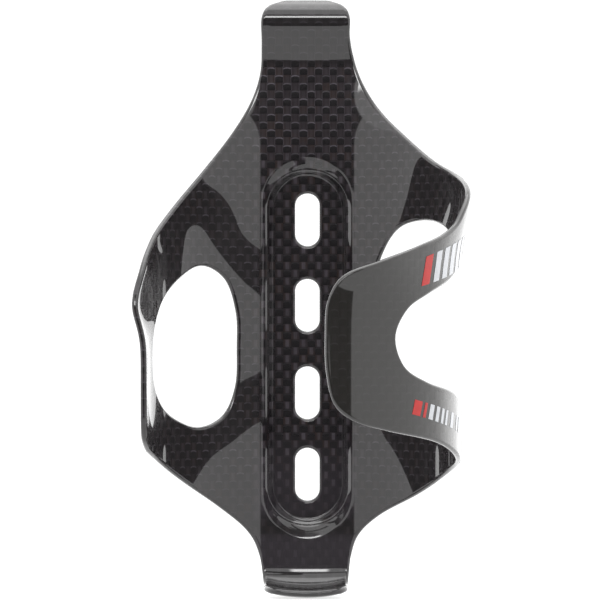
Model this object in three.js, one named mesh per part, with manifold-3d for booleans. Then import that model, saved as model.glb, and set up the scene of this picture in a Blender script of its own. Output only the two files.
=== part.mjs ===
// A side-entry water bottle cage moulded from carbon sheet, in millimetres.
// Origin: centre of the mounting pad's back face. +Z runs up the bottle, +Y points at the bicycle
// frame, -Y at the bottle, and the arm that wraps round the bottle is on the +X side.
//
// The moulding is one curved sheet. Each zone of it is drawn flat, in sheet coordinates, and then
// bent: `across` runs round the bottle from the middle of the back, and `along` runs up the sheet.
import * as THREE from "three";
import Module from "manifold-3d";
import { mergeVertices } from "three/addons/utils/BufferGeometryUtils.js";

const wasm = await Module();
wasm.setup();

// ---- driving dimensions -------------------------------------------------------------------

const WALL = 1.6; // sheet thickness
const GAP = 0.3; // clearance between neighbouring zones
const HALF_GAP = GAP / 2;
const FACET = 1.9; // width of the flat facets that follow the curve round the bottle

const DEPTH_RADIUS = 37; // inner radius of the sheet, front to back
const LEFT_RADIUS = 38.8; // inner half-width on the entry side, where the bottle comes in
const RIGHT_RADIUS = 35.4; // inner half-width on the arm side, a little tight so the arm grips

const BOLT_SPACING = 64; // between the outermost slots, the standard boss spacing
const SLOT_HEIGHTS = [BOLT_SPACING / 2, 10.5, -11.5, -BOLT_SPACING / 2];
const SLOT_WIDTH = 5.9;
const SLOT_LENGTH = 13.2;

const PAD_THICKNESS = 1.8;
const RECESS_DEPTH = 3;
const BACK_Y = -(PAD_THICKNESS + RECESS_DEPTH); // front surface of the sheet at its middle
const AXIS_Y = BACK_Y - DEPTH_RADIUS;

const FLOOR = { halfWidth: 8.6, halfStraight: 34.3 }; // round-ended floor of the recess
const RIM = { halfWidth: 11.3, halfStraight: 37.2 }; // round-ended mouth of the recess
const WALL_FOOT = 1.3; // how far the recess wall's back stands outside the floor's edge

const TAB_CREASE = 70.8; // height where the top tab starts to lean over the bottle
const SHELF_BEND = -46.2; // height where the sheet starts to turn forward into the bottom shelf
const FLATTEN_FROM = TAB_CREASE - 20; // the curve round the bottle fades out between these heights
const FLATTEN_TO = TAB_CREASE + 4;
const TOP_END = 90.4; // along the sheet
const BOTTOM_END = -72.9;
const TAB_HALF = 11;
const SHELF_HALF = 10.4;

// The sheet's path beyond the crease and beyond the shelf bend: stretches of length and turn.
// A positive turn, in degrees, is towards the bottle.
const TAB_PATH = [
  { length: 1.1, turn: 16 },
  { length: 8.6, turn: 0 },
  { length: 9.9, turn: -100 },
];
const SHELF_PATH = [
  { length: 2, turn: 5 },
  { length: 6.3, turn: 2 },
  { length: 1.4, turn: 4 },
  { length: 7.4, turn: 79 },
  { length: 7.4, turn: 0 },
  { length: 2.4, turn: 35 },
];

// Free edges that are rolled outwards so that a bottle slides past them. A roll is widest and
// strongest at its middle, reaches `above` and `below` it, and its middle line may fall sideways.
const FLARES = [
  { amount: 2.3, across: -60, along: 11, wide: 7, above: 9, below: 6.5, fall: 0 }, // entry rim
  { amount: 0.5, across: -46, along: 28.7, wide: 12, above: 9, below: 5.5, fall: -0.76 }, // left shoulder
  { amount: 1.1, across: 45, along: 47.5, wide: 8, above: 7, below: 7, fall: 0.45 }, // right shoulder
  { amount: 2.4, across: 62, along: 36, wide: 17, above: 9, below: 9, fall: 0 }, // root of the arm
  { amount: 2.7, across: 104, along: 24, wide: 12, above: 9, below: 9, fall: 0 }, // top of the panel
  { amount: 0.35, across: 112.6, along: 0, wide: 1.8, above: 18, below: 18, fall: 0 }, // its free edge
];

const ARM_SEAM = 57.65; // across: where the arm starts to bend away from the wing
const WINDOW_SPLIT = 3; // along: height that parts the two straps
const LEFT_WEB_SEAM = -17.5;
const RIGHT_WEB_SEAM = 17.5;
const RIM_SEAM = -48.3;
const PANEL_SEAM = 93.9;
const NECK_SEAM = 50;
const FOOT_SEAM = -50;
const ENTRY_TIP = -59.3;
const ARM_TIP = 112.2;
const FOOT_HALF = 12;
const FAR = 25; // beyond the back plate's faces
const LOOP_POINTS = { sheet: 420, leftWindow: 96, rightWindow: 180 };

// Two films on the outside of the straps, each a slanted band that follows its strap.
const ON_STRAP = { step: FACET, rows: 1, inside: WALL + 0.15, outside: WALL + 0.3 };
const UPPER_DECAL = {
  ...ON_STRAP,
  from: 63,
  to: 86,
  low: (across) => 19.4 - 0.21 * (across - 63),
  high: (across) => 28.2 - 0.25 * (across - 63),
};
const LOWER_DECAL = {
  ...ON_STRAP,
  from: 63,
  to: 90,
  low: (across) => -21.2 + 0.22 * (across - 63),
  high: (across) => -16.4 + 0.21 * (across - 63),
};

// ---- materials ------------------------------------------------------------------------------

const carbon = new THREE.MeshStandardMaterial({ color: 0x2b2728, roughness: 0.2, metalness: 0.1 });
const armCarbon = new THREE.MeshStandardMaterial({ color: 0x4b4a46, roughness: 0.25, metalness: 0.1 });
const whiteFilm = new THREE.MeshStandardMaterial({ color: 0xf2f2f2, roughness: 0.4, metalness: 0 });
const redFilm = new THREE.MeshStandardMaterial({ color: 0xd8352f, roughness: 0.4, metalness: 0 });

// ---- flat outlines, in sheet coordinates [across, along] --------------------------------------

const smoothLoop = (points, divisions) =>
  new THREE.CatmullRomCurve3(points.map(([x, y]) => new THREE.Vector3(x, y, 0)), true, "centripetal")
    .getPoints(divisions)
    .slice(0, -1)
    .map((p) => new THREE.Vector2(p.x, p.y));

const leftEdge = [
  [-TAB_HALF, 76],
  [-11.3, 69],
  [-13.4, 62],
  [-18.2, 53.8],
  [-26, 44.5],
  [-36.8, 34.5],
  [-47, 26.4],
  [-54.2, 20.2],
  [-58.6, 12],
  [-59.3, 0],
  [-59.3, -13],
  [-57.4, -20.8],
  [-52, -24.6],
  [-44.4, -27.5],
  [-32, -33.7],
  [-21.6, -40],
  [-14.3, -46.2],
  [-11.6, -51.8],
];

const shelfEnd = [
  [-SHELF_HALF, BOTTOM_END + 11],
  [-SHELF_HALF + 0.4, BOTTOM_END + 3.4],
  [-SHELF_HALF + 2.6, BOTTOM_END + 0.5],
  [-SHELF_HALF + 6, BOTTOM_END],
];

const tabEnd = [
  [TAB_HALF, TOP_END - 7.5],
  [TAB_HALF - 1, TOP_END - 4.6],
  [TAB_HALF - 3.4, TOP_END - 2.4],
  [TAB_HALF - 7, TOP_END - 0.5],
];

const rightEdge = [
  [11.4, -51.8],
  [13.4, -46.8],
  [19, -42],
  [30.6, -36.7],
  [46.7, -30.2],
  [64, -26],
  [80, -21.7],
  [97.1, -18.6],
  [105.4, -16.3],
  [110, -12.6],
  [112, -5],
  [112.3, 3],
  [111.6, 12],
  [108.4, 17.4],
  [99.4, 21.1],
  [86.5, 24.8],
  [76.5, 27.6],
  [71, 30.2],
  [67.5, 33.8],
  [63, 37.2],
  [56, 40.2],
  [46, 43.1],
  [37.3, 46.3],
  [27.1, 52.6],
  [19.4, 59.2],
  [14.6, 66],
  [12, 72.6],
  [TAB_HALF, 78],
];

const mirrored = (points) => points.map(([x, y]) => [-x, y]).reverse();

const sheetOutline = smoothLoop(
  [...leftEdge, ...shelfEnd, ...mirrored(shelfEnd), ...rightEdge, ...tabEnd, ...mirrored(tabEnd)],
  LOOP_POINTS.sheet,
);

const leftWindow = smoothLoop(
  [
    [-17.2, 0],
    [-17.5, 9],
    [-20.6, 17.3],
    [-26.8, 20.3],
    [-35.1, 16.8],
    [-44, 9.5],
    [-48.5, 1],
    [-47.9, -8],
    [-42, -14.4],
    [-34, -18.3],
    [-27.4, -19.7],
    [-21, -17],
    [-17.7, -10],
  ],
  LOOP_POINTS.leftWindow,
);

const rightWindow = smoothLoop(
  [
    [17.3, 0],
    [17.5, 14],
    [19.9, 23],
    [24.8, 29.5],
    [33, 31.5],
    [41.7, 30.3],
    [50, 26.5],
    [60, 22],
    [72.6, 16.8],
    [83.4, 13.2],
    [90.6, 9.6],
    [94.2, 3.2],
    [91.6, -3.6],
    [84, -7.3],
    [72.6, -9.6],
    [58, -13.2],
    [44, -17.3],
    [30, -19.8],
    [21.6, -17.2],
    [17.8, -10],
  ],
  LOOP_POINTS.rightWindow,
);

// ---- solids: three.js shapes joined and cut ----------------------------------------------------

function solidFrom(geometry) {
  const bare = geometry.clone();
  bare.deleteAttribute("normal");
  bare.deleteAttribute("uv");
  const merged = mergeVertices(bare, 1e-4);
  return new wasm.Manifold(
    new wasm.Mesh({
      numProp: 3,
      vertProperties: merged.attributes.position.array,
      triVerts: new Uint32Array(merged.index.array),
    }),
  );
}

function extruded(outline, holes, thickness) {
  const shape = new THREE.Shape(outline);
  shape.holes = holes.map((hole) => new THREE.Path(hole));
  return new THREE.ExtrudeGeometry(shape, { depth: thickness, bevelEnabled: false });
}

function geometryFrom(solid) {
  const mesh = solid.getMesh();
  const geometry = new THREE.BufferGeometry();
  geometry.setAttribute("position", new THREE.BufferAttribute(mesh.vertProperties, 3));
  geometry.setIndex(new THREE.BufferAttribute(mesh.triVerts, 1));
  return geometry;
}

// ---- bending ---------------------------------------------------------------------------------

function flareAt(across, along) {
  return FLARES.reduce((sum, flare) => {
    const aside = across - flare.across;
    const rise = along - flare.along + flare.fall * aside;
    const high = rise > 0 ? flare.above : flare.below;
    return sum + flare.amount * Math.exp(-((aside / flare.wide) ** 2) - (rise / high) ** 2);
  }, 0);
}

// Where a path of stretches has got to: forward towards the bottle, onward, and its turn so far.
function followed(path, distance) {
  const place = { forward: 0, onward: 0, heading: 0 };
  let left = distance;
  for (const { length, turn } of path) {
    const step = Math.min(left, length);
    const angle = THREE.MathUtils.degToRad(turn) * (step / length);
    const chord = angle === 0 ? step : (step * Math.sin(angle / 2)) / (angle / 2);
    place.forward += chord * Math.sin(place.heading + angle / 2);
    place.onward += chord * Math.cos(place.heading + angle / 2);
    place.heading += angle;
    left -= step;
  }
  return place;
}

// The sheet's middle line at a height: its point in the YZ plane and the direction to the bottle.
function spineAt(along) {
  if (along > TAB_CREASE) {
    const { forward, onward, heading } = followed(TAB_PATH, along - TAB_CREASE);
    return { y: BACK_Y - forward, z: TAB_CREASE + onward, ny: -Math.cos(heading), nz: -Math.sin(heading) };
  }
  if (along < SHELF_BEND) {
    const { forward, onward, heading } = followed(SHELF_PATH, SHELF_BEND - along);
    return { y: BACK_Y - forward, z: SHELF_BEND - onward, ny: -Math.cos(heading), nz: Math.sin(heading) };
  }
  return { y: BACK_Y, z: along, ny: -1, nz: 0 };
}

// How much of the sheet's curve round the bottle is left: the top tab flattens towards its lip.
const hollowness = (along) => 1 - THREE.MathUtils.smoothstep(along, FLATTEN_FROM, FLATTEN_TO);

// A point of the bent sheet: `out` is measured away from the bottle, from the inner surface.
function sheetPoint(across, along, out) {
  const angle = across / DEPTH_RADIUS;
  const offset = out + flareAt(across, along);
  const side = across < 0 ? LEFT_RADIUS : RIGHT_RADIUS;
  const hollow = DEPTH_RADIUS * (1 - Math.cos(angle)) * hollowness(along);
  const towards = hollow - offset * Math.cos(angle);
  const spine = spineAt(along);
  return new THREE.Vector3(
    (side + offset) * Math.sin(angle),
    spine.y + spine.ny * towards,
    spine.z + spine.nz * towards,
  );
}

// The lowest and highest place where a closed outline crosses a line of constant `across`.
function crossings(outline, across) {
  const heights = outline.flatMap((p, i) => {
    const q = outline[(i + 1) % outline.length];
    if (p.x > across === q.x > across) return [];
    return [p.y + ((q.y - p.y) * (across - p.x)) / (q.x - p.x)];
  });
  return { low: Math.min(...heights), high: Math.max(...heights) };
}

// A closed solid of bent sheet between two depths. Its columns run along the sheet, each one from
// low(across) to high(across), so its ends and edges follow the curved outlines.
function bentPanel({ from, to, step, rows, low, high, inside = 0, outside = WALL }) {
  const columnCount = Math.ceil((to - from) / step);
  const perFace = (columnCount + 1) * (rows + 1);
  const positions = [];
  for (const out of [inside, outside]) {
    for (let i = 0; i <= columnCount; i++) {
      const across = from + ((to - from) * i) / columnCount;
      const [bottom, top] = [low(across), high(across)];
      for (let j = 0; j <= rows; j++) {
        positions.push(...sheetPoint(across, bottom + ((top - bottom) * j) / rows, out));
      }
    }
  }
  const index = [];
  const quad = (a, b, c, d) => index.push(a, b, c, a, c, d);
  const at = (face, i, j) => face * perFace + i * (rows + 1) + j;
  for (let i = 0; i < columnCount; i++) {
    for (let j = 0; j < rows; j++) {
      quad(at(0, i, j), at(0, i + 1, j), at(0, i + 1, j + 1), at(0, i, j + 1));
      quad(at(1, i, j), at(1, i, j + 1), at(1, i + 1, j + 1), at(1, i + 1, j));
    }
    quad(at(0, i, 0), at(1, i, 0), at(1, i + 1, 0), at(0, i + 1, 0));
    quad(at(0, i, rows), at(0, i + 1, rows), at(1, i + 1, rows), at(1, i, rows));
  }
  for (let j = 0; j < rows; j++) {
    quad(at(0, 0, j), at(0, 0, j + 1), at(1, 0, j + 1), at(1, 0, j));
    quad(at(0, columnCount, j), at(1, columnCount, j), at(1, columnCount, j + 1), at(0, columnCount, j + 1));
  }
  const geometry = new THREE.BufferGeometry();
  geometry.setAttribute("position", new THREE.Float32BufferAttribute(positions, 3));
  geometry.setIndex(index);
  return geometry;
}

// ---- the recess that holds the bolt heads ------------------------------------------------------

function roundEnded({ halfWidth, halfStraight }, grow = 0) {
  const radius = halfWidth + grow;
  const path = new THREE.Path();
  path.absarc(0, halfStraight, radius, 0, Math.PI, false);
  path.absarc(0, -halfStraight, radius, Math.PI, 2 * Math.PI, false);
  return path.getPoints(16).slice(0, -1);
}

function slotOutline(height) {
  const radius = SLOT_WIDTH / 2;
  const straight = SLOT_LENGTH / 2 - radius;
  return roundEnded({ halfWidth: radius, halfStraight: straight }).map(
    (p) => new THREE.Vector2(p.x, p.y + height),
  );
}

// Extrudes an outline drawn in X and Z along Y, from y0 to y1.
function prismAlongY(outline, holes, y0, y1) {
  return extruded(outline, holes, y1 - y0).rotateX(Math.PI / 2).translate(0, y1, 0);
}

function sheetFaceY(x, out) {
  const side = x < 0 ? LEFT_RADIUS : RIGHT_RADIUS;
  return AXIS_Y + (DEPTH_RADIUS + out) * Math.sqrt(1 - (x / (side + out)) ** 2);
}

function mountingPad() {
  const outline = roundEnded(FLOOR, -HALF_GAP);
  return prismAlongY(outline, SLOT_HEIGHTS.map(slotOutline), -PAD_THICKNESS, 0);
}

// A sloping ring from the floor's edge to the mouth of the recess, lofted through four loops.
function recessWall() {
  const foot = roundEnded(FLOOR, HALF_GAP);
  const heel = roundEnded(FLOOR, WALL_FOOT);
  const mouth = roundEnded(RIM, -HALF_GAP);
  const loops = [
    foot.map((p) => [p.x, -PAD_THICKNESS, p.y]),
    mouth.map((p) => [p.x, sheetFaceY(p.x, 0), p.y]),
    mouth.map((p) => [p.x, sheetFaceY(p.x, WALL), p.y]),
    heel.map((p) => [p.x, 0, p.y]),
    foot.map((p) => [p.x, 0, p.y]),
  ];
  const count = foot.length;
  const index = [];
  loops.forEach((_, ring) => {
    const nextRing = (ring + 1) % loops.length;
    for (let i = 0; i < count; i++) {
      const j = (i + 1) % count;
      const [a, b, c, d] = [ring * count + i, ring * count + j, nextRing * count + j, nextRing * count + i];
      index.push(a, c, b, a, d, c);
    }
  });
  const geometry = new THREE.BufferGeometry();
  geometry.setAttribute("position", new THREE.Float32BufferAttribute(loops.flat(2), 3));
  geometry.setIndex(index);
  return geometry;
}

function backPlate() {
  const plate = solidFrom(
    bentPanel({
      ...between(LEFT_WEB_SEAM, RIGHT_WEB_SEAM, FACET),
      rows: 14,
      low: (across) => Math.max(crossings(sheetOutline, across).low, FOOT_SEAM + HALF_GAP),
      high: (across) => Math.min(crossings(sheetOutline, across).high, NECK_SEAM - HALF_GAP),
    }),
  );
  const opening = solidFrom(prismAlongY(roundEnded(RIM, HALF_GAP), [], -FAR, FAR));
  return geometryFrom(plate.subtract(opening));
}

// A stretch round the bottle between two seams, drawn in by half the gap at each end.
const between = (from, to, step) => ({ from: from + HALF_GAP, to: to - HALF_GAP, step });

// ---- assembly --------------------------------------------------------------------------------

function piece(name, geometry, material) {
  const mesh = new THREE.Mesh(geometry, material);
  mesh.name = name;
  return mesh;
}

function base() {
  const group = new THREE.Group();
  const neck = bentPanel({
    ...between(LEFT_WEB_SEAM, RIGHT_WEB_SEAM, FACET),
    rows: 8,
    low: () => NECK_SEAM + HALF_GAP,
    high: (across) => Math.min(crossings(sheetOutline, across).high, TAB_CREASE - HALF_GAP),
  });
  const tab = bentPanel({
    ...between(-TAB_HALF, TAB_HALF, FACET),
    rows: 14,
    low: () => TAB_CREASE + HALF_GAP,
    high: (across) => crossings(sheetOutline, across).high,
  });
  const shelf = bentPanel({
    ...between(-FOOT_HALF, FOOT_HALF, FACET),
    rows: 18,
    low: (across) => crossings(sheetOutline, across).low,
    high: () => FOOT_SEAM - HALF_GAP,
  });
  group.add(
    piece("mounting_pad", mountingPad(), carbon),
    piece("recess_wall", recessWall(), carbon),
    piece("back_plate", backPlate(), carbon),
    piece("upper_neck", neck, carbon),
    piece("top_tab", tab, carbon),
    piece("bottom_shelf", shelf, carbon),
  );
  return group;
}

// The strip of sheet above a window, up to the sheet's own edge.
const aboveWindow = (opening) => ({
  rows: 6,
  low: (across) => crossings(opening, across).high,
  high: (across) => crossings(sheetOutline, across).high,
});

const belowWindow = (opening) => ({
  rows: 3,
  low: (across) => crossings(sheetOutline, across).low,
  high: (across) => crossings(opening, across).low,
});

const fullHeight = {
  rows: 8,
  low: (across) => crossings(sheetOutline, across).low,
  high: (across) => crossings(sheetOutline, across).high,
};

function leftWing() {
  const group = new THREE.Group();
  const span = between(RIM_SEAM, LEFT_WEB_SEAM, FACET);
  const rim = between(ENTRY_TIP - HALF_GAP, RIM_SEAM, FACET);
  group.add(
    piece("left_wing_upper", bentPanel({ ...span, ...aboveWindow(leftWindow) }), carbon),
    piece("left_wing_lower", bentPanel({ ...span, ...belowWindow(leftWindow) }), carbon),
    piece("left_entry_rim", bentPanel({ ...rim, ...fullHeight }), carbon),
  );
  return group;
}

function rightWing() {
  const group = new THREE.Group();
  const span = between(RIGHT_WEB_SEAM, ARM_SEAM, FACET);
  group.add(
    piece("right_wing_upper", bentPanel({ ...span, ...aboveWindow(rightWindow) }), carbon),
    piece("right_wing_lower", bentPanel({ ...span, ...belowWindow(rightWindow) }), carbon),
  );
  return group;
}

function wrapArm() {
  const group = new THREE.Group();
  const span = between(ARM_SEAM, PANEL_SEAM, FACET);
  const panel = between(PANEL_SEAM, ARM_TIP + HALF_GAP, FACET);
  group.add(
    piece("upper_strap", bentPanel({ ...span, ...aboveWindow(rightWindow) }), armCarbon),
    piece("lower_strap", bentPanel({ ...span, ...belowWindow(rightWindow) }), armCarbon),
    piece("front_panel", bentPanel({ ...panel, ...fullHeight }), armCarbon),
    piece("upper_strap_decal", bentPanel(UPPER_DECAL), whiteFilm),
    piece("lower_strap_decal", bentPanel(LOWER_DECAL), redFilm),
  );
  return group;
}

const cage = new THREE.Group();
cage.add(base(), leftWing(), rightWing(), wrapArm());

export default cage;
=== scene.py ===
"""The looks of a side-entry bottle cage moulded from woven carbon sheet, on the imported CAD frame.

The whole moulding is one bent sheet. A point of it is named by two lengths in millimetres: `across`,
round the bottle from the middle of the back, and `along`, up the sheet. The sheet is drawn flat in
these coordinates, meshed, bent by the same rules as the CAD model and cut into one piece per CAD node.
"""

import math

import bpy
import numpy as np
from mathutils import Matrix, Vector
from mathutils.geometry import delaunay_2d_cdt


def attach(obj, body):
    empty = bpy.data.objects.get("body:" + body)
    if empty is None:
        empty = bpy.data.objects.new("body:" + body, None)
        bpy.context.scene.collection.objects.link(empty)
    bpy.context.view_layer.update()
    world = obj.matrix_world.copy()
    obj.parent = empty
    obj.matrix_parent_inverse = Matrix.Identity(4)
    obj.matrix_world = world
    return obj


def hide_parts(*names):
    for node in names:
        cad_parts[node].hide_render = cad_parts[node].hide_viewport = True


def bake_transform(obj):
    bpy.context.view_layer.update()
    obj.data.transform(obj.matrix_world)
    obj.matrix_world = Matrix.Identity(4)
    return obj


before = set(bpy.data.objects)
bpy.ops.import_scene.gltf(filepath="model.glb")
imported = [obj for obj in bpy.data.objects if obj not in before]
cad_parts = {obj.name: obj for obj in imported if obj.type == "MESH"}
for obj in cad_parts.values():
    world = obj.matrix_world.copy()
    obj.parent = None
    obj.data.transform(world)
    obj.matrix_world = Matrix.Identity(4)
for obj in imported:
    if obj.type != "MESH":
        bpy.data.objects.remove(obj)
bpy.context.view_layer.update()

MM = 0.001

# ---- the sheet's dimensions, in millimetres, as in the CAD model ---------------------------------

WALL = 1.6
DEPTH_RADIUS = 37.0  # inner radius, front to back
LEFT_RADIUS = 38.8  # inner half-width on the entry side
RIGHT_RADIUS = 35.4  # inner half-width on the arm side

PAD_THICKNESS = 1.8
RECESS_DEPTH = 3.0
BACK_Y = -(PAD_THICKNESS + RECESS_DEPTH)

SLOT_HEIGHTS = (32.0, 10.5, -11.5, -32.0)
SLOT_HALF_WIDTH = 2.95
SLOT_HALF_STRAIGHT = 3.65

# Round-ended lines of the recess: half-width, and half the straight length.
FLOOR = (8.6, 34.3)  # the edge of its floor
STEP = (10.2, 35.1)  # the top of its steep wall
RIM = (11.3, 37.2)  # its mouth
BACK_GROW = 1.3  # the wall's back stands this far outside its front
LEDGE_SHARE = 0.24  # of the recess depth, taken by the gentle ledge inside the mouth

TAB_CREASE = 70.8
SHELF_BEND = -46.2
TOP_END = 90.4
BOTTOM_END = -72.9
TAB_HALF = 11.0
SHELF_HALF = 10.4
TAB_PATH = ((1.1, 16.0), (8.6, 0.0), (9.9, -100.0))  # stretches of length and turn to the bottle
SHELF_PATH = ((2.0, 5.0), (6.3, 2.0), (1.4, 4.0), (7.4, 79.0), (7.4, 0.0), (2.4, 35.0))
FLATTEN_FROM = TAB_CREASE - 20  # the sheet's curve fades out from here to here
FLATTEN_TO = TAB_CREASE + 4

# Edges rolled outwards: how far, where (across, along), how wide, how high above and below
# the middle, and how much the roll runs downhill.
FLARES = (
    (2.3, -60.0, 11.0, 7.0, 9.0, 6.5, 0.0),  # the rim where the bottle comes in
    (0.5, -46.0, 28.7, 12.0, 9.0, 5.5, -0.76),  # the left shoulder
    (1.1, 45.0, 47.5, 8.0, 7.0, 7.0, 0.45),  # the right shoulder
    (2.4, 62.0, 36.0, 17.0, 9.0, 9.0, 0.0),  # the top edge of the arm's root
    (2.7, 104.0, 24.0, 12.0, 9.0, 9.0, 0.0),  # the front panel's top edge
    (0.35, 112.6, 0.0, 1.8, 18.0, 18.0, 0.0),  # the front panel's free edge
)

# The outline and the two windows, as smooth curves through points of across and along. The outline
# goes down the left edge, round the shelf's end, up the right edge and round the tab's end.
LEFT_EDGE = (
    (-TAB_HALF, 76),
    (-11.3, 69),
    (-13.4, 62),
    (-18.2, 53.8),
    (-26, 44.5),
    (-36.8, 34.5),
    (-47, 26.4),
    (-54.2, 20.2),
    (-58.6, 12),
    (-59.3, 0),
    (-59.3, -13),
    (-57.4, -20.8),
    (-52, -24.6),
    (-44.4, -27.5),
    (-32, -33.7),
    (-21.6, -40),
    (-14.3, -46.2),
    (-11.6, -51.8),
)

SHELF_END = (
    (-SHELF_HALF, BOTTOM_END + 11),
    (-SHELF_HALF + 0.4, BOTTOM_END + 3.4),
    (-SHELF_HALF + 2.6, BOTTOM_END + 0.5),
    (-SHELF_HALF + 6, BOTTOM_END),
)

TAB_END = (
    (TAB_HALF, TOP_END - 7.5),
    (TAB_HALF - 1.0, TOP_END - 4.6),
    (TAB_HALF - 3.4, TOP_END - 2.4),
    (TAB_HALF - 7, TOP_END - 0.5),
)

RIGHT_EDGE = (
    (11.4, -51.8),
    (13.4, -46.8),
    (19, -42),
    (30.6, -36.7),
    (46.7, -30.2),
    (64, -26),
    (80, -21.7),
    (97.1, -18.6),
    (105.4, -16.3),
    (110, -12.6),
    (112, -5),
    (112.3, 3),
    (111.6, 12),
    (108.4, 17.4),
    (99.4, 21.1),
    (86.5, 24.8),
    (76.5, 27.6),
    (71, 30.2),
    (67.5, 33.8),
    (63, 37.2),
    (56, 40.2),
    (46, 43.1),
    (37.3, 46.3),
    (27.1, 52.6),
    (19.4, 59.2),
    (14.6, 66),
    (12, 72.6),
    (TAB_HALF, 78),
)

LEFT_WINDOW = (
    (-17.2, 0),
    (-17.5, 9),
    (-20.6, 17.3),
    (-26.8, 20.3),
    (-35.1, 16.8),
    (-44, 9.5),
    (-48.5, 1),
    (-47.9, -8),
    (-42, -14.4),
    (-34, -18.3),
    (-27.4, -19.7),
    (-21, -17),
    (-17.7, -10),
)

RIGHT_WINDOW = (
    (17.3, 0),
    (17.5, 14),
    (19.9, 23),
    (24.8, 29.5),
    (33, 31.5),
    (41.7, 30.3),
    (50, 26.5),
    (60, 22),
    (72.6, 16.8),
    (83.4, 13.2),
    (90.6, 9.6),
    (94.2, 3.2),
    (91.6, -3.6),
    (84, -7.3),
    (72.6, -9.6),
    (58, -13.2),
    (44, -17.3),
    (30, -19.8),
    (21.6, -17.2),
    (17.8, -10),
)

# ---- how finely it is meshed -----------------------------------------------------------------

CURVE_STEPS = 40  # fine steps in each drawn stretch of a curve
GRID = 1.25  # seams between pieces lie on this grid
EDGE_STEP = 1.1
SLOT_STEP = 0.55
RECESS_STEP = 0.9
CLEARANCE = 0.62  # of a grid point from any drawn line
ROUND_STEPS = 6  # facets round a moulded edge
WALL_LEVELS = (-0.3, 0.0, 0.16, 0.32, 0.48, 0.64, 0.8, 1.0)
LEDGE_LEVELS = (0.33, 0.66, 1.0, 1.35)
PROBE = 0.05  # step for surface slopes
BATCH = 200

# Where one CAD node ends and the next begins: across for the first four, along for the others.
WEB_SEAM = 17.5
RIM_SEAM = -48.75
ARM_SEAM = 57.5
PANEL_SEAM = 93.75
NECK_SEAM = 50.0
FOOT_SEAM = -50.0
TAB_SEAM = 71.25
STRAP_SEAM = 3.0


# ---- bending the sheet -----------------------------------------------------------------------


def smooth(value, low, high):
    """A smooth step of a value, 0 at low and 1 at high."""
    t = np.clip((value - low) / (high - low), 0.0, 1.0)
    return t * t * (3.0 - 2.0 * t)


def flare_at(across, along):
    """How far outwards the sheet is rolled at a place."""
    total = np.zeros_like(across)
    for amount, a0, w0, wide, above, below, fall in FLARES:
        rise = along - w0 + fall * (across - a0)
        high = np.where(rise > 0, above, below)
        total += amount * np.exp(-(((across - a0) / wide) ** 2) - (rise / high) ** 2)
    return total


def followed(path, distance):
    """Forward, onward and heading after a distance along a path of straight and round stretches."""
    forward = np.zeros_like(distance)
    onward = np.zeros_like(distance)
    heading = np.zeros_like(distance)
    left = np.maximum(distance, 0.0)
    for length, turn in path:
        step = np.minimum(left, length)
        angle = math.radians(turn) * step / length
        chord = step * np.sinc(angle / (2.0 * math.pi))
        forward += chord * np.sin(heading + angle / 2)
        onward += chord * np.cos(heading + angle / 2)
        heading += angle
        left = left - step
    return forward, onward, heading


def spine_at(along):
    """The sheet's middle line: Y and Z, and the direction towards the bottle in Y and Z."""
    up_forward, up_onward, up_heading = followed(TAB_PATH, along - TAB_CREASE)
    down_forward, down_onward, down_heading = followed(SHELF_PATH, SHELF_BEND - along)
    y = BACK_Y - up_forward - down_forward
    z = np.clip(along, SHELF_BEND, TAB_CREASE) + up_onward - down_onward
    return y, z, -np.cos(up_heading + down_heading), np.sin(down_heading - up_heading)


def sheet_point(across, along, out):
    """A point of the plain bent sheet, `out` from its inner surface, as an array of X, Y, Z."""
    angle = across / DEPTH_RADIUS
    offset = out + flare_at(across, along)
    side = np.where(across < 0, LEFT_RADIUS, RIGHT_RADIUS)
    hollow = DEPTH_RADIUS * (1 - np.cos(angle)) * (1 - smooth(along, FLATTEN_FROM, FLATTEN_TO))
    towards = hollow - offset * np.cos(angle)
    y, z, ny, nz = spine_at(along)
    return np.stack([(side + offset) * np.sin(angle), y + ny * towards, z + nz * towards], axis=-1)


def outside_round_end(x, z, shape, grow):
    """How far outside a round-ended line, grown by `grow`, a point lies. It is negative inside."""
    half_width, half_straight = shape
    beyond = np.maximum(np.abs(z) - half_straight, 0.0)
    return np.hypot(x, beyond) - half_width - grow


def passage(x, z, inner, outer, grow):
    """How far a point has got from one round-ended line, 0, to the next one out, 1."""
    from_inner = outside_round_end(x, z, inner, grow)
    from_outer = -outside_round_end(x, z, outer, grow)
    return from_inner / (from_inner + from_outer)


def recess_share(x, z, grow):
    """How deep the recess is at a point, from 0 outside its mouth to 1 on its floor."""
    ledge = 1 - smooth(passage(x, z, STEP, RIM, grow), -0.1, 1.0)
    wall = 1 - smooth(passage(x, z, FLOOR, STEP, grow), 0.0, 1.1)
    return LEDGE_SHARE * ledge + (1 - LEDGE_SHARE) * wall


def surface(across, along, back):
    """A point of the moulding's front or back face."""
    point = sheet_point(across, along, WALL if back else 0.0)
    share = recess_share(point[..., 0], along, BACK_GROW if back else 0.0)
    share = share * (np.abs(across) < DEPTH_RADIUS)
    floor_y = 0.0 if back else -PAD_THICKNESS
    point[..., 1] += (floor_y - point[..., 1]) * share
    return point


def unit(vectors):
    return vectors / np.linalg.norm(vectors, axis=-1, keepdims=True)


def surface_normal(across, along, back):
    """The direction straight out of the moulding's front or back face."""
    right = surface(across + PROBE, along, back) - surface(across - PROBE, along, back)
    up = surface(across, along + PROBE, back) - surface(across, along - PROBE, back)
    normal = unit(np.cross(right, up))
    return -normal if back else normal


# ---- flat drawing ----------------------------------------------------------------------------


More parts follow.
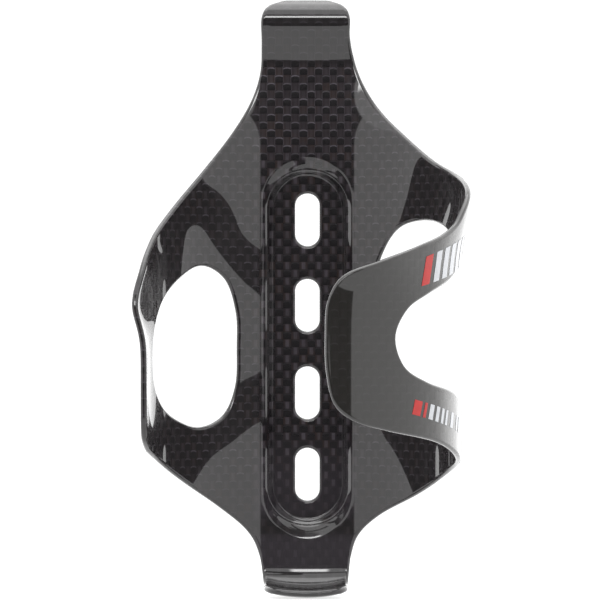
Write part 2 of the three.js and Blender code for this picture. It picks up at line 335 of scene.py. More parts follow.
def smooth_loop(points):
    """A fine closed curve through the points: a centripetal Catmull-Rom spline."""
    p = np.array(points, dtype=float)
    before, after, later = np.roll(p, 1, axis=0), np.roll(p, -1, axis=0), np.roll(p, -2, axis=0)
    pairs = ((before, p), (p, after), (after, later))
    d0, d1, d2 = [np.sqrt(np.linalg.norm(b - a, axis=1))[:, None] for a, b in pairs]
    start = ((p - before) / d0 - (after - before) / (d0 + d1) + (after - p) / d1) * d1
    end = ((after - p) / d1 - (later - p) / (d1 + d2) + (later - after) / d2) * d1
    t = np.linspace(0, 1, CURVE_STEPS, endpoint=False)[None, :, None]
    curve = (
        p[:, None] * (2 * t**3 - 3 * t**2 + 1)
        + after[:, None] * (3 * t**2 - 2 * t**3)
        + start[:, None] * (t**3 - 2 * t**2 + t)
        + end[:, None] * (t**3 - t**2)
    )
    return curve.reshape(-1, 2)


def spaced(loop, step):
    """The closed loop with points at an even spacing near `step`."""
    closed = np.vstack([loop, loop[:1]])
    run = np.concatenate([[0.0], np.cumsum(np.linalg.norm(np.diff(closed, axis=0), axis=1))])
    count = max(8, round(run[-1] / step))
    at = np.linspace(0, run[-1], count, endpoint=False)
    return np.stack([np.interp(at, run, closed[:, k]) for k in (0, 1)], axis=1)


def signed_area(loop):
    x, y = loop.T
    return 0.5 * np.sum(x * np.roll(y, -1) - np.roll(x, -1) * y)


def turned(loop, counter_clockwise):
    """The same loop, travelled counter-clockwise or clockwise."""
    return loop if (signed_area(loop) > 0) == counter_clockwise else loop[::-1]


def right_hand(loop):
    """The unit vector to the right of a loop's direction of travel, at each point."""
    tangent = unit(np.roll(loop, -1, axis=0) - np.roll(loop, 1, axis=0))
    return np.stack([tangent[:, 1], -tangent[:, 0]], axis=1)


def to_across(x):
    """The sheet's `across` at a distance to the side of the middle."""
    return DEPTH_RADIUS * np.arcsin(x / np.where(x < 0, LEFT_RADIUS, RIGHT_RADIUS))


def round_ended(half_width, half_straight, height, step):
    """A round-ended outline in X and Z, turned into sheet coordinates."""
    angle = np.linspace(0, math.pi, CURVE_STEPS)
    x = half_width * np.cos(angle)
    z = half_straight + half_width * np.sin(angle)
    x = np.concatenate([x, -x])
    z = np.concatenate([z, -z])
    loop = spaced(np.stack([x, z + height], axis=1), step)
    return np.stack([to_across(loop[:, 0]), loop[:, 1]], axis=1)


def line_between(inner, outer, level):
    """A line round the recess, part of the way from one round-ended line to the next."""
    half_width = inner[0] + (outer[0] - inner[0]) * level
    half_straight = inner[1] + (outer[1] - inner[1]) * level
    return round_ended(half_width, half_straight, 0.0, RECESS_STEP)


def inside(points, loop):
    """Whether each point lies in the closed loop."""
    x, y = points[:, :1], points[:, 1:]
    x0, y0 = loop[:, 0][None], loop[:, 1][None]
    x1, y1 = np.roll(x0, -1, axis=1), np.roll(y0, -1, axis=1)
    crosses = (y0 > y) != (y1 > y)
    with np.errstate(divide="ignore", invalid="ignore"):
        hit = x < x0 + (x1 - x0) * (y - y0) / (y1 - y0)
    return np.count_nonzero(crosses & hit, axis=1) % 2 == 1


def nearest(points, targets):
    """The distance from each point to its nearest target, worked out for a batch at a time."""
    best = np.full(len(points), np.inf)
    for start in range(0, len(targets), BATCH):
        part = targets[start : start + BATCH]
        gap = np.linalg.norm(points[:, None] - part[None], axis=2)
        best = np.minimum(best, gap.min(axis=1))
    return best


def mirrored(points):
    """The same points on the sheet's other side, in travelling order."""
    return tuple((-x, y) for x, y in points)[::-1]


def boundary_loops():
    """The sheet's outline and holes, each travelled with the material on its left."""
    outline = (*LEFT_EDGE, *SHELF_END, *mirrored(SHELF_END), *RIGHT_EDGE, *TAB_END, *mirrored(TAB_END))
    loops = [turned(spaced(smooth_loop(outline), EDGE_STEP), True)]
    for window in (LEFT_WINDOW, RIGHT_WINDOW):
        loops.append(turned(spaced(smooth_loop(window), EDGE_STEP), False))
    for height in SLOT_HEIGHTS:
        loops.append(turned(round_ended(SLOT_HALF_WIDTH, SLOT_HALF_STRAIGHT, height, SLOT_STEP), False))
    return loops


def grid_points(outline, avoid):
    """Points of the even grid inside the outline, clear of the points to avoid."""
    low, high = outline.min(axis=0), outline.max(axis=0)
    across = np.arange(math.ceil(low[0] / GRID), high[0] / GRID) * GRID
    along = np.arange(math.ceil(low[1] / GRID), high[1] / GRID) * GRID
    points = np.stack(np.meshgrid(across, along), axis=-1).reshape(-1, 2)
    points = points[inside(points, outline)]
    return points[nearest(points, avoid) > CLEARANCE]


def flat_mesh():
    """Triangles of the flat sheet: its points, its faces, and each boundary loop as point numbers."""
    edge = WALL / 2
    outer = boundary_loops()
    loops = [loop - right_hand(loop) * edge for loop in outer]
    lines = [line_between(FLOOR, STEP, level) for level in WALL_LEVELS]
    lines += [line_between(STEP, RIM, level) for level in LEDGE_LEVELS]
    drawn = loops + lines
    points = np.vstack(drawn)
    points = np.vstack([points, grid_points(loops[0], points)])
    edges = []
    start = 0
    for loop in drawn:
        count = len(loop)
        edges += [(start + i, start + (i + 1) % count) for i in range(count)]
        start += count
    made = delaunay_2d_cdt([Vector(p) for p in points], edges, [], 0, 1e-6, True)
    flat = np.array([tuple(v) for v in made[0]])
    renumber = {old: new for new, olds in enumerate(made[3]) for old in olds}
    faces = np.array(made[2])
    middles = flat[faces].mean(axis=1)
    keep = inside(middles, loops[0])
    for hole in loops[1:]:
        keep &= ~inside(middles, hole)
    numbered = []
    start = 0
    for loop in loops:
        numbered.append([renumber[start + i] for i in range(len(loop))])
        start += len(loop)
    return flat, faces[keep], numbered


def zone_of(across, along):
    """The name of the CAD node that a point of the sheet belongs to."""
    if along > TAB_SEAM:
        return "top_tab"
    if across < RIM_SEAM:
        return "left_entry_rim"
    if across < -WEB_SEAM:
        return "left_wing_upper" if along > 0 else "left_wing_lower"
    if across > PANEL_SEAM:
        return "front_panel"
    if across > ARM_SEAM:
        return "upper_strap" if along > STRAP_SEAM else "lower_strap"
    if across > WEB_SEAM:
        return "right_wing_upper" if along > 0 else "right_wing_lower"
    if along > NECK_SEAM:
        return "upper_neck"
    if along < FOOT_SEAM:
        return "bottom_shelf"
    x = (LEFT_RADIUS if across < 0 else RIGHT_RADIUS) * math.sin(across / DEPTH_RADIUS)
    if outside_round_end(x, along, FLOOR, 0.0) < 0:
        return "mounting_pad"
    if outside_round_end(x, along, RIM, 0.0) < 0:
        return "recess_wall"
    return "back_plate"


# ---- the moulding's mesh -------------------------------------------------------------------------


class Shell:
    """All of the moulding's points, with normals and sheet coordinates, and its faces by zone."""

    def __init__(self):
        flat, triangles, loops = flat_mesh()
        self.count = len(flat)
        across, along = flat.T
        self.points = [surface(across, along, False), surface(across, along, True)]
        self.normals = [surface_normal(across, along, False), surface_normal(across, along, True)]
        self.sheet = [flat, flat]
        self.outer = [np.zeros(self.count), np.ones(self.count)]
        self.faces = {}
        self.total = 2 * self.count
        owner = self.add_faces(flat, triangles)
        for loop in loops:
            self.add_edge(flat, loop, owner)
        self.points = np.vstack(self.points)
        self.normals = np.vstack(self.normals)
        self.sheet = np.vstack(self.sheet)
        self.outer = np.concatenate(self.outer)

    def face(self, zone, corners, flat=False):
        """Notes one face of a zone. Flat ones are the cut walls between zones."""
        self.faces.setdefault(zone, []).append((corners, flat))

    def add_faces(self, flat, triangles):
        """Front and back faces, and a wall where two zones meet. Returns each front edge's zone."""
        zones = [zone_of(*middle) for middle in flat[triangles].mean(axis=1)]
        owner = {}
        for corners, zone in zip(triangles.tolist(), zones):
            a, b, c = corners
            for pair in ((a, b), (b, c), (c, a)):
                owner[pair] = zone
            self.face(zone, (a, b, c))
            self.face(zone, (c + self.count, b + self.count, a + self.count))
        for (a, b), zone in owner.items():
            if owner.get((b, a), zone) != zone:
                self.face(zone, (b, a, a + self.count, b + self.count), True)
        return owner

    def add_edge(self, flat, loop, owner):
        """The rounded edge that joins the front and back faces round one loop."""
        numbers = np.array(loop)
        line = flat[numbers]
        away = right_hand(line)
        front = surface(*line.T, False)
        back = surface(*line.T, True)
        middle = (front + back) / 2
        beyond = line + away * PROBE
        out = (surface(*beyond.T, False) + surface(*beyond.T, True)) / 2 - middle
        through = unit(front - back)
        out = unit(out - through * np.sum(out * through, axis=1, keepdims=True))
        half = np.linalg.norm(front - back, axis=1, keepdims=True) / 2
        rings = [numbers]
        for step in range(1, ROUND_STEPS):
            turn = math.pi * step / ROUND_STEPS
            lean = through * math.cos(turn) + out * math.sin(turn)
            self.points.append(middle + through * half * math.cos(turn) + out * (WALL / 2) * math.sin(turn))
            self.normals.append(lean)
            self.sheet.append(line + away * (WALL / 2) * math.sin(turn))
            self.outer.append(np.full(len(loop), step / ROUND_STEPS))
            rings.append(self.total + np.arange(len(loop)))
            self.total += len(loop)
        rings.append(numbers + self.count)
        self.join_rings([ring.tolist() for ring in rings], owner)

    def join_rings(self, rings, owner):
        """The faces between the rings of one rounded edge, closed off where the zone changes."""
        count = len(rings[0])
        zones = [owner[rings[0][k], rings[0][(k + 1) % count]] for k in range(count)]
        for k, zone in enumerate(zones):
            after = (k + 1) % count
            for ring, following in zip(rings, rings[1:]):
                self.face(zone, (ring[after], ring[k], following[k], following[after]))
            if zones[after] != zone:
                section = tuple(ring[after] for ring in rings)
                self.face(zone, section[::-1], True)
                self.face(zones[after], section, True)


def skin_mesh(name, shell, faces):
    """One zone of the shell as a mesh, with the shell's own normals and its sheet coordinates."""
    used = sorted({corner for corners, _ in faces for corner in corners})
    renumber = {old: new for new, old in enumerate(used)}
    mesh = bpy.data.meshes.new(name)
    polygons = [[renumber[corner] for corner in corners] for corners, _ in faces]
    mesh.from_pydata((shell.points[used] * MM).tolist(), [], polygons)
    mesh.polygons.foreach_set("use_smooth", [not is_flat for _, is_flat in faces])
    layer = mesh.uv_layers.new(name="Sheet")
    corners = [corner for face, _ in faces for corner in face]
    layer.data.foreach_set("uv", shell.sheet[corners].ravel())
    outer = mesh.attributes.new("outer_face", "FLOAT", "POINT")
    outer.data.foreach_set("value", shell.outer[used])
    normals = shell.normals[corners].tolist()
    at = 0
    for polygon, (face, is_flat) in zip(mesh.polygons, faces):
        if is_flat:
            normals[at : at + len(face)] = [tuple(polygon.normal)] * len(face)
        at += len(face)
    mesh.normals_split_custom_set(normals)
    mesh.update()
    return mesh


def shown(name, mesh, material, slot, *nodes):
    """Puts a mesh in the scene as the piece that stands for these CAD nodes."""
    piece = bpy.data.objects.new(name, mesh)
    mesh.materials.append(material)
    bpy.context.collection.objects.link(piece)
    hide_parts(*nodes)
    return piece


def move_with(piece, zone):
    """Zones of the arm, and the wing it grows from, get their transform baked in and no parent; the others
    are attached to the cage body.
    """
    if zone in ("front_panel", "upper_strap", "lower_strap", "right_wing_upper", "right_wing_lower"):
        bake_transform(piece)
    else:
        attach(piece, "cage")


# ---- printed films ---------------------------------------------------------------------------

FILM_IN = WALL + 0.02  # a film's two faces, out from the sheet's inner surface
FILM_OUT = WALL + 0.07
FILM_STEP = 0.8
FILM_ROWS = 6

# The printed bands: the middle of the right-hand end, and the rise of each edge towards the left.
UPPER_BAND = {"from": 63.0, "low": 19.4, "high": 28.2, "low_rise": -0.21, "high_rise": -0.25}
LOWER_BAND = {"from": 63.0, "low": -21.2, "high": -16.4, "low_rise": 0.22, "high_rise": 0.21}
UPPER_LEAN = 1.9  # how far a bar's top leans forward
LOWER_LEAN = 1.2

# Plain slanted bars, each with its right-hand and left-hand distance across.
UPPER_RED = ((83.0, 85.9),)
UPPER_WHITE = ((79.0, 81.4), (75.2, 77.6), (71.4, 73.8), (67.8, 70.0), (64.4, 66.4))
LOWER_RED = ((86.6, 89.2), (84.7, 85.6))
LOWER_WHITE = (
    (82.0, 83.6),
    (79.6, 80.9),
    (77.4, 78.5),
    (75.4, 76.4),
    (71.8, 73.4),
    (68.5, 69.5),
    (66.3, 67.2),
)

# Each strap's film: its CAD node, band, lean, bars, and the share trimmed off each end of a bar.
FILMS = (
    ("upper_strap_decal", UPPER_BAND, UPPER_LEAN, UPPER_RED, UPPER_WHITE, 0.08),
    ("lower_strap_decal", LOWER_BAND, LOWER_LEAN, LOWER_RED, LOWER_WHITE, 0.1),
)
WHITE_INK = (0.38, 0.39, 0.41, 1.0)
RED_INK = (0.32, 0.008, 0.006, 1.0)


def bar_points(band, lean, right, left, trim):
    """A bar's points: an inner and an outer sheet of them, in columns from its foot up."""
    columns = max(2, math.ceil((left - right) / FILM_STEP))
    i, j = np.meshgrid(np.arange(columns + 1) / columns, np.arange(FILM_ROWS + 1) / FILM_ROWS, indexing="ij")
    share = trim + (1 - 2 * trim) * j
    across = right + (left - right) * i + lean * (0.5 - share)
    low = band["low"] + band["low_rise"] * (across - band["from"])
    high = band["high"] + band["high_rise"] * (across - band["from"])
    along = low + (high - low) * share
    sheets = [sheet_point(across, along, out).reshape(-1, 3) for out in (FILM_IN, FILM_OUT)]
    return np.vstack(sheets), columns


def bar_faces(columns, first):
    """The closed skin of one bar, its points numbered from `first`."""
    rows = FILM_ROWS
    layer = (columns + 1) * (rows + 1)
    faces = []

    def quad(*corners):
        faces.append([first + side * layer + i * (rows + 1) + j for side, i, j in corners])

    for i in range(columns):
        for j in range(rows):
            quad((0, i, j), (0, i + 1, j), (0, i + 1, j + 1), (0, i, j + 1))
            quad((1, i, j), (1, i, j + 1), (1, i + 1, j + 1), (1, i + 1, j))
        quad((0, i, 0), (1, i, 0), (1, i + 1, 0), (0, i + 1, 0))
        quad((0, i, rows), (0, i + 1, rows), (1, i + 1, rows), (1, i, rows))
    for j in range(rows):
        quad((0, 0, j), (0, 0, j + 1), (1, 0, j + 1), (1, 0, j))
        quad((0, columns, j), (1, columns, j), (1, columns, j + 1), (0, columns, j + 1))
    return faces


def film_mesh(name, band, lean, bars, trim):
    """The closed skins of one ink's bars as one mesh."""
    points = []
    faces = []
    for right, left in bars:
        made, columns = bar_points(band, lean, right, left, trim)
        faces += bar_faces(columns, sum(len(p) for p in points))
        points.append(made)
    mesh = bpy.data.meshes.new(name)
    mesh.from_pydata((np.vstack(points) * MM).tolist(), [], faces)
    mesh.update()
    return mesh


# ---- materials -----------------------------------------------------------------------------------


class Nodes:
    """A small helper that makes shader nodes and links them."""

    def __init__(self, tree):
        self.tree = tree
        tree.nodes.clear()

    def add(self, kind, **settings):
        node = self.tree.nodes.new(kind)
        for key, value in settings.items():
            setattr(node, key, value)
        return node

    def link(self, source, target):
        self.tree.links.new(source, target)

    def feed(self, socket, value):
        """Gives a socket its input, from another socket or as a plain value."""
        if isinstance(value, bpy.types.NodeSocket):
            self.link(value, socket)
        else:
            socket.default_value = value

    def math(self, operation, *values):
        node = self.add("ShaderNodeMath", operation=operation)
        for socket, value in zip(node.inputs, values):
            self.feed(socket, value)
        return node.outputs[0]

    def product(self, first, *others):
        for other in others:
            first = self.math("MULTIPLY", first, other)
        return first

    def weighted(self, value, weight, added):
        """The value times a weight, plus something."""
        return self.math("MULTIPLY_ADD", value, weight, added)

    def ramp(self, value, low, high, to_low=0.0, to_high=1.0):
        """A smooth step of a value from low to high."""
        node = self.add("ShaderNodeMapRange", interpolation_type="SMOOTHSTEP")
        for key, number in (("From Min", low), ("From Max", high), ("To Min", to_low), ("To Max", to_high)):
            self.feed(node.inputs[key], number)
        self.feed(node.inputs["Value"], value)
        return node.outputs[0]

    def mix(self, share, first, second):
        """A colour part of the way from the first to the second."""
        node = self.add("ShaderNodeMix", data_type="RGBA")
        self.feed(node.inputs["Factor"], share)
        colour_inputs = [s for s in node.inputs if s.type == "RGBA"]
        for socket, value in zip(colour_inputs, (first, second)):
            self.feed(socket, value)
        return next(s for s in node.outputs if s.type == "RGBA")

    def combined(self, x, y):
        node = self.add("ShaderNodeCombineXYZ")
        self.feed(node.inputs[0], x)
        self.feed(node.inputs[1], y)
        return node.outputs[0]

    def split(self, vector):
        node = self.add("ShaderNodeSeparateXYZ")
        self.link(vector, node.inputs[0])
        return node.outputs

    def noise(self, vector, scale, detail):
        node = self.add("ShaderNodeTexNoise")
        self.link(vector, node.inputs["Vector"])
        node.inputs["Scale"].default_value = scale
        node.inputs["Detail"].default_value = detail
        return node.outputs["Fac"]

    def shader(self, colour, roughness, settings):
        """The material's shader. What is the same all over is set on its own sockets."""
        shader = self.add("ShaderNodeBsdfPrincipled")
        self.feed(shader.inputs["Base Color"], colour)
        self.feed(shader.inputs["Roughness"], roughness)
        for key, value in settings.items():
            shader.inputs[key].default_value = value
        self.link(shader.outputs[0], self.add("ShaderNodeOutputMaterial").inputs[0])
        return shader


def new_material(name):
    material = bpy.data.materials.new(name)
    material.use_nodes = True
    return material, Nodes(material.node_tree)


TOW = 1.95  # width of one tow of the weave, in millimetres
WEAVE_RELIEF = 0.0001  # how high a tow is crowned, in metres

LEVEL_TOW = (0.0045, 0.0036, 0.0044, 1.0)
UPRIGHT_TOW = (0.0100, 0.0070, 0.0084, 1.0)
BROWN_TOW = (0.0125, 0.0070, 0.0060, 1.0)  # upright tows, in brownish patches
LIGHT_TOW = (0.056, 0.049, 0.058, 1.0)  # where a tow catches light
EVEN_TOW = (0.0066, 0.0056, 0.0060, 1.0)  # where the weave hardly shows: the wings and both ends
SHEEN_TOW = (0.0185, 0.0155, 0.0190, 1.0)  # painted sheen: a paler tone standing in for reflected light at the foot of the middle strip
OUTER_TONE = (0.0080, 0.0074, 0.0062, 1.0)  # the moulding's outer face, most of all on the arm

# Where the weave's tone changes, as pairs of sheet lengths from none of the change to all of it.
MIDDLE_SIDE = (14.0, 11.0)  # the middle strip, from its two sides
NECK_FROM = (45.0, 51.0)
TAB_FROM = (69.5, 72.5)
FOOT_EVEN = (-40.0, -47.0)
FOOT_FADE = (-26.0, -44.0)
# Where the painted sheen lies: the neck above the shelf, and the foot of the recess.
ABOVE_SHELF = ((-45.5, -48.5), (-57.0, -54.5))
RECESS_FOOT = ((-20.0, -34.0), (-44.0, -41.0))
ARM_FROM = (36.0, 56.0)

LACQUER = {
    "Specular IOR Level": 0.12,
    "Coat Weight": 1.0,
    "Coat Roughness": 0.02,
    "Coat IOR": 1.5,
}
FILM_FINISH = {
    "Specular IOR Level": 0.2,
    "Coat Weight": 0.4,
    "Coat Roughness": 0.02,
}


class Weave:
    """Sheet coordinates, the weave's cells, which tow is on top, and the place within the cell."""

    def __init__(self, n):
        sheet = n.split(n.add("ShaderNodeUVMap", uv_map="Sheet").outputs[0])
        self.across = sheet[0]
        self.along = sheet[1]
        self.u = n.math("DIVIDE", self.across, TOW)
        self.v = n.math("DIVIDE", self.along, TOW)
        self.cell = (n.math("FLOOR", self.u), n.math("FLOOR", self.v))
        self.upright = n.math("FLOORED_MODULO", n.math("ADD", *self.cell), 2.0)
        self.level = n.math("SUBTRACT", 1.0, self.upright)
        self.in_u = n.math("ABSOLUTE", n.math("SUBTRACT", n.math("FRACT", self.u), 0.5))
        self.in_v = n.math("SUBTRACT", n.math("FRACT", self.v), 0.5)
        self.middle = n.ramp(n.math("ABSOLUTE", self.across), *MIDDLE_SIDE)


def light_marks(n, weave):
    """Where the weave catches light: a bar on each upright tow, a cap over each level one."""
    off_middle = n.math("ABSOLUTE", weave.in_v)
    bar = n.product(n.ramp(weave.in_u, 0.30, 0.15), n.ramp(off_middle, 0.50, 0.38), weave.upright)
    side = n.product(n.ramp(weave.in_u, 0.36, 0.47), weave.upright)
    arch = n.weighted(n.product(weave.in_u, weave.in_u), -0.6, 0.42)
    off_arch = n.math("ABSOLUTE", n.math("SUBTRACT", weave.in_v, arch))
    cap = n.product(n.ramp(off_arch, 0.13, 0.04), n.ramp(weave.in_u, 0.52, 0.42), weave.level)
    neck = n.product(n.ramp(weave.along, *NECK_FROM), weave.middle)
    bar_weight = n.weighted(neck, -0.4, n.weighted(weave.middle, 0.41, 0.17))
    cap_weight = n.weighted(neck, 0.95, n.weighted(weave.middle, -0.42, 0.52))
    marks = n.math("ADD", n.product(bar, bar_weight), n.product(cap, cap_weight))
    marks = n.math("ADD", marks, n.product(side, neck, 0.5))
    foot_fade = n.ramp(weave.along, *FOOT_FADE, 1.0, 0.25)
    tab_fade = n.ramp(weave.along, *TAB_FROM, 1.0, 0.3)
    return n.product(marks, foot_fade, tab_fade)


def middle_between(n, weave, edges):
    """The stretch of the middle strip between two heights."""
    start, end = edges
    return n.product(n.ramp(weave.along, *start), n.ramp(weave.along, *end), weave.middle)


def ground_tone(n, weave, fibres, threads):
    """The tows' colour: upright ones lighter, evened out on the wings and towards both ends, with a painted
    sheen of reflected light at the foot of the middle strip.
    """
    brown = n.ramp(n.noise(n.combined(weave.u, weave.v), 0.35, 1.0), 0.45, 0.65)
    upright_tone = n.mix(brown, UPRIGHT_TOW, BROWN_TOW)
    ground = n.mix(n.product(weave.upright, threads), LEVEL_TOW, upright_tone)
    foot = n.ramp(weave.along, *FOOT_EVEN, 0.0, 0.8)
    tab = n.ramp(weave.along, *TAB_FROM, 0.0, 0.8)
    even = n.math("MAXIMUM", n.weighted(weave.middle, -0.6, 0.6), n.math("ADD", foot, tab))
    ground = n.mix(even, ground, EVEN_TOW)
    # Painted sheen: the recess's foot and the neck above the shelf are made paler, standing in for reflected
    # light.
    recess_foot = middle_between(n, weave, RECESS_FOOT)
    above_shelf = middle_between(n, weave, ABOVE_SHELF)
    painted_sheen = n.weighted(recess_foot, 0.8, above_shelf)
    return n.mix(n.product(painted_sheen, n.ramp(fibres, 0.25, 0.75, 0.6, 1.0)), ground, SHEEN_TOW)


def weave_bump(n, weave):
    """Each tow crowned across its width where it is on top."""
    crown_u = n.weighted(n.product(weave.in_u, weave.in_u), -4.0, 1.0)
    crown_v = n.weighted(n.product(weave.in_v, weave.in_v), -4.0, 1.0)
    height = n.math("ADD", n.product(crown_u, weave.upright), n.product(crown_v, weave.level))
    bump = n.add("ShaderNodeBump")
    bump.inputs["Strength"].default_value = 0.5
    bump.inputs["Distance"].default_value = WEAVE_RELIEF
    n.link(height, bump.inputs["Height"])
    return bump.outputs[0]


def carbon_material():
    """Plain-woven carbon under clear lacquer. The arm's outside has a finer, nearly even face."""
    material, n = new_material("woven_carbon")
    weave = Weave(n)
    chance = n.add("ShaderNodeTexWhiteNoise", noise_dimensions="2D")
    n.link(n.combined(*weave.cell), chance.inputs["Vector"])
    patchy = n.ramp(chance.outputs["Value"], 0.0, 1.0, 0.55, 1.15)
    fibres = n.noise(n.combined(n.product(weave.u, 9.0), n.product(weave.v, 0.9)), 1.0, 3.0)
    threads = n.ramp(fibres, 0.3, 0.7, 0.65, 1.1)
    ground = ground_tone(n, weave, fibres, threads)
    colour = n.mix(n.product(light_marks(n, weave), threads, patchy), ground, LIGHT_TOW)
    outer = n.add("ShaderNodeAttribute", attribute_name="outer_face").outputs["Fac"]
    colour = n.mix(n.product(outer, n.ramp(weave.across, *ARM_FROM, 0.25, 0.8)), colour, OUTER_TONE)
    shader = n.shader(colour, n.ramp(fibres, 0.2, 0.8, 0.42, 0.55), LACQUER)
    n.link(weave_bump(n, weave), shader.inputs["Normal"])
    return material


def film_material(name, colour):
    """Printed film under a thin coat of lacquer, with a little unevenness in the ink."""
    material, n = new_material(name)
    place = n.add("ShaderNodeTexCoord").outputs["Object"]
    ink = n.ramp(n.noise(place, 900.0, 3.0), 0.3, 0.7)
    darker = tuple(c * 0.9 for c in colour[:3]) + (1.0,)
    n.shader(n.mix(ink, darker, colour), n.ramp(ink, 0.0, 1.0, 0.35, 0.45), FILM_FINISH)
    return material


def floor_material():
    """The pale, softly lit top of a light table."""
    material, n = new_material("pale_floor")
    place = n.add("ShaderNodeTexCoord").outputs["Object"]
    colour = n.mix(n.noise(place, 300.0, 2.0), (0.36, 0.36, 0.36, 1.0), (0.40, 0.40, 0.40, 1.0))
    glow = {"Emission Color": (1.0, 1.0, 1.0, 1.0), "Emission Strength": FLOOR_GLOW}
    n.shader(colour, 0.9, {**glow, "Specular IOR Level": 0.1})
    return material


# ---- the studio ------------------------------------------------------------------------------

TENT = 2.1  # brightness of the white tent round the object
ABOVE = 2.8  # of its upper half
STRIP = 20.0  # of the strip lamp over the camera
CROWN = 6.0  # of the lamp overhead
BEHIND = 3.2  # of the lit backdrop
DARK = 0.03  # of the opening that the camera looks through
BACKGROUND = 1.2  # of the plain white that the camera sees behind the object

# Directions from the object, in degrees: turns off the opening's middle, and rises over the
# horizon. Each pair is where a part of the studio begins and where it has fully begun.
OPENING_TURN = -3.0  # the opening's middle, from the camera, to its right
OPENING_SIDE = (35.5, 37.1)
OPENING_TOP = (16.5, 18.0)
OPENING_FOOT = (-19.5, -20.5)
GAP = ((29.0, 30.5), (37.0, 35.5))  # a grey gap over the strip lamp
GAP_DEPTH = 0.8
STRIP_RISE = ((19.0, 20.0), (27.0, 25.0))
STRIP_SIDE = (18.0, 12.0)
UPPER_HALF = (16.0, 18.0)
CROWN_FROM = (58.0, 66.0)
DOORWAY_TURN = (168.0, 170.0)  # a dim doorway opposite the camera, by its turn off the camera
DOORWAY_RISE = ((-24.0, -22.0), (24.0, 22.0))
DOORWAY_DEPTH = 0.9
BACKDROP_FROM = (0.349, 0.698)  # of the way from beside the object to straight behind it

CAMERA_AT = (-1.89, -1000.0, 11.84)
LENS = 238.2
FLOOR_Z = -62.1
FLOOR_GLOW = 0.75  # the floor is a lit table, so it holds almost no shadow
FLOOR_RADIUS = 150.0


def step(n, angle, edges):
    """A smooth step of an angle between two, given in degrees."""
    low, high = edges
    return n.ramp(angle, math.radians(low), math.radians(high))


def between(n, angle, edges):
    """A band of angles, with a soft edge at each side."""
    start, end = edges
    return n.product(step(n, angle, start), step(n, angle, end))


def open_share(n, turn, off_middle, rise):
    """How much of the tent's light comes from a direction: little of it from the dark openings."""
    beside = step(n, off_middle, OPENING_SIDE)
    over_or_under = n.math("MAXIMUM", step(n, rise, OPENING_TOP), step(n, rise, OPENING_FOOT))
    ahead = n.math("SUBTRACT", 1.0, beside)
    gap = n.product(between(n, rise, GAP), ahead)
    share = n.weighted(gap, -GAP_DEPTH, n.math("MAXIMUM", beside, over_or_under))
    behind = step(n, n.math("ABSOLUTE", turn), DOORWAY_TURN)
    doorway = n.product(behind, between(n, rise, DOORWAY_RISE))
    return n.product(share, n.weighted(doorway, -DOORWAY_DEPTH, 1.0))


def lamp_light(n, off_middle, rise, back):
    """What the upper half, the strip lamp, the lamp overhead and the backdrop add to the tent."""
    narrow = step(n, off_middle, STRIP_SIDE)
    strip = n.product(between(n, rise, STRIP_RISE), narrow, STRIP - ABOVE)
    crown = n.product(step(n, rise, CROWN_FROM), CROWN - ABOVE)
    upper = n.weighted(step(n, rise, UPPER_HALF), ABOVE - TENT, n.math("ADD", strip, crown))
    backdrop = n.product(n.ramp(back, *BACKDROP_FROM), BEHIND - TENT)
    return n.math("MAXIMUM", upper, backdrop)


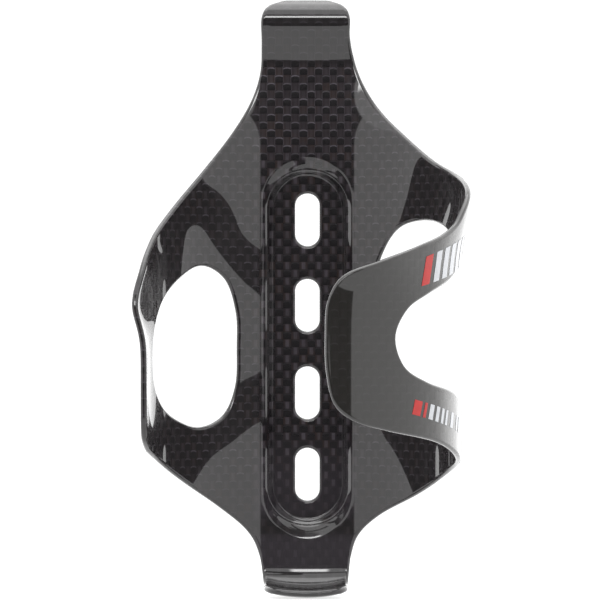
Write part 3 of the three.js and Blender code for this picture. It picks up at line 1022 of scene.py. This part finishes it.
def studio_light():
    """A white tent all round, with the dark opening that the camera looks through."""
    world = bpy.data.worlds.new("tent")
    world.use_nodes = True
    bpy.context.scene.world = world
    n = Nodes(world.node_tree)
    x, y, z = n.split(n.add("ShaderNodeTexCoord").outputs["Generated"])
    turn = n.math("ARCTAN2", x, n.product(y, -1.0))
    off_middle = n.math("ABSOLUTE", n.math("SUBTRACT", turn, math.radians(OPENING_TURN)))
    rise = n.math("ARCSINE", z)
    bright = n.math("ADD", TENT - DARK, lamp_light(n, off_middle, rise, y))
    lit = n.add("ShaderNodeBackground")
    n.link(n.weighted(open_share(n, turn, off_middle, rise), bright, DARK), lit.inputs["Strength"])
    plain = n.add("ShaderNodeBackground")
    plain.inputs["Color"].default_value = (1.0, 1.0, 1.0, 1.0)
    plain.inputs["Strength"].default_value = BACKGROUND
    choose = n.add("ShaderNodeMixShader")
    n.link(n.add("ShaderNodeLightPath").outputs["Is Camera Ray"], choose.inputs[0])
    n.link(lit.outputs[0], choose.inputs[1])
    n.link(plain.outputs[0], choose.inputs[2])
    n.link(choose.outputs[0], n.add("ShaderNodeOutputWorld").inputs[0])


def pale_floor():
    """A round floor just under the cage."""
    angles = np.linspace(0, 2 * math.pi, 96, endpoint=False)
    ring = [(FLOOR_RADIUS * MM * math.cos(a), FLOOR_RADIUS * MM * math.sin(a), 0.0) for a in angles]
    mesh = bpy.data.meshes.new("floor")
    mesh.from_pydata(ring, [], [list(range(len(ring)))])
    floor = bpy.data.objects.new("floor", mesh)
    floor.location = (0.0, 0.0, FLOOR_Z * MM)
    mesh.materials.append(floor_material())
    bpy.context.collection.objects.link(floor)


def photo_camera():
    """A long lens straight in front of the cage."""
    data = bpy.data.cameras.new("camera")
    data.sensor_width = 36.0
    data.lens = LENS
    camera = bpy.data.objects.new("camera", data)
    camera.location = tuple(v * MM for v in CAMERA_AT)
    camera.rotation_euler = (math.pi / 2, 0.0, 0.0)
    bpy.context.collection.objects.link(camera)
    bpy.context.scene.camera = camera
    bpy.context.scene.view_settings.view_transform = "Standard"


# ---- building it -----------------------------------------------------------------------------


def build_moulding():
    """One skin for each zone of the moulding."""
    carbon = carbon_material()
    shell = Shell()
    for zone, faces in shell.faces.items():
        name = zone + "_skin"
        skin = shown(name, skin_mesh(name, shell, faces), carbon, "carbon", zone)
        move_with(skin, zone)


def build_films():
    """The red and the white bars of each strap's printed film."""
    white = film_material("white_ink", WHITE_INK)
    red = film_material("red_ink", RED_INK)
    for node, band, lean, red_bars, white_bars, trim in FILMS:
        red_mesh = film_mesh(node + "_red", band, lean, red_bars, trim)
        move_with(shown(node + "_red", red_mesh, red, "red_film", node), "upper_strap")
        white_mesh = film_mesh(node + "_white", band, lean, white_bars, trim)
        move_with(shown(node + "_white", white_mesh, white, "white_film", node), "upper_strap")


photo_camera()
studio_light()
pale_floor()
build_moulding()
build_films()
